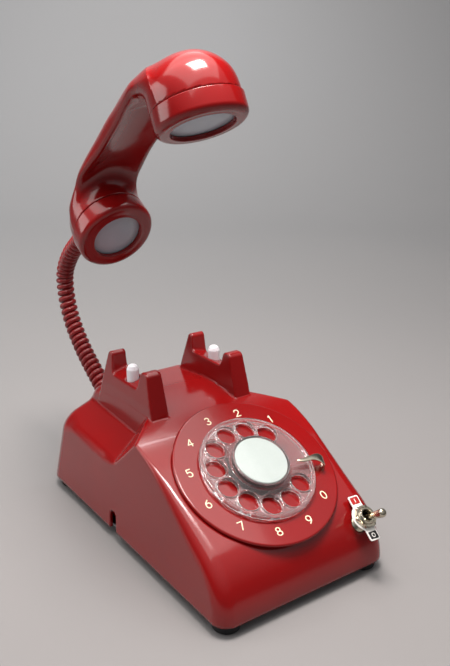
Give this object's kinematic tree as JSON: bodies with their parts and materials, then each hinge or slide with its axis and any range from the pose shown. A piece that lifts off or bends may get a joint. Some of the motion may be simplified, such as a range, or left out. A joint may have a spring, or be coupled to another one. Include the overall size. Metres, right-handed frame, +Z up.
{
  "type": "rotary desk telephone lamp",
  "caption": "Rotary dial desk telephone made into a lamp: the handset stands on a bent tube inside its curly cord and a lamp shines from each cap.",
  "frame": {"origin": "on the table, centred under the whole object's bounding box", "axes": "+Z up, the dial and the toggle switch face -Y, +X to the right seen from the dial side"},
  "size_m": [0.1336, 0.3036, 0.3265],
  "materials": {
    "red_abs": "moulded, high gloss",
    "zinc_steel": "zinc plated, satin",
    "black_rubber": "matte",
    "clear_acrylic": "clear, polished",
    "white_card": "smooth card",
    "gear_brass": "turned",
    "nickel_plate": "polished nickel",
    "milky_nylon": "milky, moulded",
    "white_enamel": "enamelled",
    "black_plastic": "moulded",
    "frosted_acrylic": "frosted",
    "lead_sleeve": "insulated lead"
  },
  "bodies": {
    "base": {"housing": "red_abs", "base_plate": "zinc_steel", "foot_front_left": "black_rubber", "foot_front_right": "black_rubber", "foot_rear_left": "black_rubber", "foot_rear_right": "black_rubber", "housing_screw_front": "zinc_steel", "housing_screw_rear": "zinc_steel", "number_plate": "red_abs", "dial_frame": "zinc_steel", "return_spring": "zinc_steel", "pulse_contacts": "gear_brass", "finger_stop": "nickel_plate", "hook_pin": "zinc_steel", "hook_bracket": "zinc_steel", "hook_spring": "zinc_steel", "hook_contacts": "gear_brass", "indicator_plate": "white_enamel", "switch_nut": "nickel_plate", "switch_bushing": "nickel_plate", "switch_body": "black_plastic", "handset_handle": "red_abs", "transmitter_cap": "red_abs", "transmitter_lens": "frosted_acrylic", "transmitter_lamp": "zinc_steel", "receiver_cap": "red_abs", "receiver_lens": "frosted_acrylic", "receiver_lamp": "zinc_steel", "receiver_lead": "lead_sleeve", "tube_nut": "zinc_steel", "cord_collar": "red_abs", "support_tube": "zinc_steel", "curly_cord": "red_abs", "tube_grommet": "black_rubber", "tube_flange": "zinc_steel", "lamp_driver": "black_plastic", "terminal_block": "white_enamel", "mains_inlet": "black_rubber"},
    "dial_wheel": {"finger_wheel": "clear_acrylic", "card_retainer": "clear_acrylic", "center_card": "white_card", "dial_shaft": "zinc_steel", "main_gear": "gear_brass"},
    "pulse_cam": {"pulse_cam": "gear_brass"},
    "governor": {"governor": "gear_brass"},
    "hook_lever": {"hook_lever": "zinc_steel"},
    "plunger_left": {"plunger_left": "milky_nylon"},
    "plunger_right": {"plunger_right": "milky_nylon"},
    "switch_lever": {"switch_lever": "nickel_plate"}
  },
  "joints": [
    {"name": "dial_turn", "type": "hinge", "parent": "base", "child": "dial_wheel", "pos_m": [0, -0.08558, 0.0677], "axis": [0, 0.4807, -0.8769], "range_deg": [0, 330], "stiffness_Nm_per_rad": 0.004, "springref_deg": -57.3},
    {"name": "pulse_spin", "type": "hinge", "parent": "base", "child": "pulse_cam", "pos_m": [-0.0092, -0.10294, 0.04678], "axis": [0, 0.4807, -0.8769], "range_deg": [-1615, 0]},
    {"name": "governor_spin", "type": "hinge", "parent": "base", "child": "governor", "pos_m": [-0.01639, -0.09791, 0.04954], "axis": [0, 0.4807, -0.8769], "range_deg": [0, 2826]},
    {"name": "hook_rock", "type": "hinge", "parent": "base", "child": "hook_lever", "pos_m": [0, 0.04109, 0.0735], "axis": [1, 0, 0], "range_deg": [0, 14.5], "stiffness_Nm_per_rad": 0.16, "springref_deg": -14.32},
    {"name": "plunger_left_press", "type": "slide", "parent": "base", "child": "plunger_left", "axis": [0, 0, -1], "range_m": [0, 0.007]},
    {"name": "plunger_right_press", "type": "slide", "parent": "base", "child": "plunger_right", "axis": [0, 0, -1], "range_m": [0, 0.007]},
    {"name": "switch_flip", "type": "hinge", "parent": "base", "child": "switch_lever", "pos_m": [0.0495, -0.13431, 0.0386], "axis": [-0.9962, 0, 0.0872], "range_deg": [0, 32]}
  ],
  "couplings": [
    {"joint": "pulse_spin", "follows": "dial_turn", "ratio": -4.8889},
    {"joint": "governor_spin", "follows": "dial_turn", "ratio": 8.5556},
    {"joint": "plunger_left_press", "follows": "hook_rock", "m_per_rad": 0.0276},
    {"joint": "plunger_right_press", "follows": "hook_rock", "m_per_rad": 0.0276}
  ]
}
